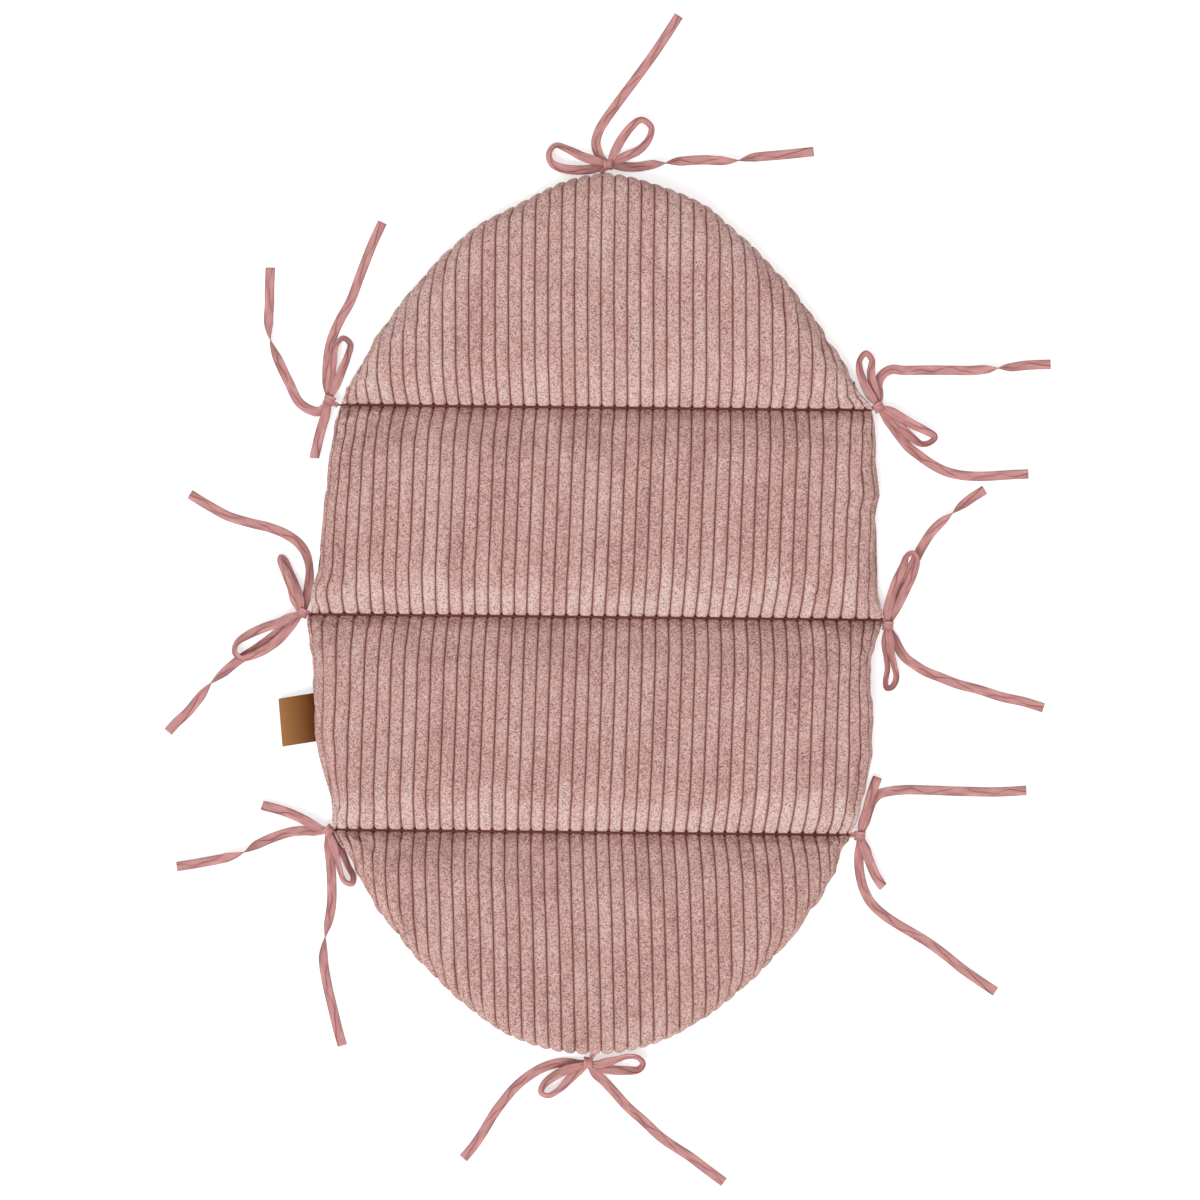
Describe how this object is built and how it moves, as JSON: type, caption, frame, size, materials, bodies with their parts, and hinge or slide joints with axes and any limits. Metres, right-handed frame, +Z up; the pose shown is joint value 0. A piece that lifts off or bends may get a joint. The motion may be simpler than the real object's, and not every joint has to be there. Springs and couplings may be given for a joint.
{
  "type": "infant lounger liner",
  "caption": "Oval quilted pad in wide-wale corduroy for an infant lounger, sewn across so that it folds, with bows of flat tape on its edge and a folded leather tab.",
  "frame": {"origin": "middle of the base of the pad's box, on the surface that its back cloth rests on", "axes": "+Y towards the head end, +X to the right seen from above, +Z up out of the corduroy face"},
  "size_m": [0.7512, 0.9978, 0.026],
  "materials": {
    "corduroy": "matte",
    "back_cloth": "matte",
    "wadding": "matte",
    "seam_cloth": "matte",
    "tape": "matte",
    "leather": "satin"
  },
  "bodies": {
    "upper_panel": {"upper_corduroy_cover": "corduroy", "upper_back_cover": "back_cloth", "upper_wadding": "wadding", "head_seam": "seam_cloth", "middle_seam": "seam_cloth", "left_upper_tie_knot": "tape", "left_upper_tie_loop_a": "tape", "left_upper_tie_tail_a": "tape", "left_upper_tie_loop_b": "tape", "left_upper_tie_tail_b": "tape", "right_upper_tie_knot": "tape", "right_upper_tie_loop_a": "tape", "right_upper_tie_tail_a": "tape", "right_upper_tie_loop_b": "tape", "right_upper_tie_tail_b": "tape", "left_middle_tie_knot": "tape", "left_middle_tie_loop_a": "tape", "left_middle_tie_tail_a": "tape", "left_middle_tie_loop_b": "tape", "left_middle_tie_tail_b": "tape", "right_middle_tie_knot": "tape", "right_middle_tie_loop_a": "tape", "right_middle_tie_tail_a": "tape", "right_middle_tie_loop_b": "tape", "right_middle_tie_tail_b": "tape"},
    "head_panel": {"head_corduroy_cover": "corduroy", "head_back_cover": "back_cloth", "head_wadding": "wadding", "head_tie_knot": "tape", "head_tie_loop_a": "tape", "head_tie_tail_a": "tape", "head_tie_loop_b": "tape", "head_tie_tail_b": "tape"},
    "lower_panel": {"lower_corduroy_cover": "corduroy", "lower_back_cover": "back_cloth", "lower_wadding": "wadding", "foot_seam": "seam_cloth", "leather_tab": "leather", "left_lower_tie_knot": "tape", "left_lower_tie_loop_a": "tape", "left_lower_tie_tail_a": "tape", "left_lower_tie_loop_b": "tape", "left_lower_tie_tail_b": "tape", "right_lower_tie_knot": "tape", "right_lower_tie_loop_a": "tape", "right_lower_tie_tail_a": "tape", "right_lower_tie_loop_b": "tape", "right_lower_tie_tail_b": "tape"},
    "foot_panel": {"foot_corduroy_cover": "corduroy", "foot_back_cover": "back_cloth", "foot_wadding": "wadding", "foot_tie_knot": "tape", "foot_tie_loop_a": "tape", "foot_tie_tail_a": "tape", "foot_tie_loop_b": "tape", "foot_tie_tail_b": "tape"}
  },
  "joints": [
    {"name": "head_fold", "type": "hinge", "parent": "upper_panel", "child": "head_panel", "pos_m": [0.0145, 0.175, 0.009], "axis": [1, 0, 0], "range_deg": [-75, 75]},
    {"name": "middle_fold", "type": "hinge", "parent": "upper_panel", "child": "lower_panel", "pos_m": [0.0145, -0.003, 0.009], "axis": [-1, 0, 0], "range_deg": [-75, 75]},
    {"name": "foot_fold", "type": "hinge", "parent": "lower_panel", "child": "foot_panel", "pos_m": [0.0145, -0.186, 0.009], "axis": [-1, 0, 0], "range_deg": [-75, 75]}
  ]
}
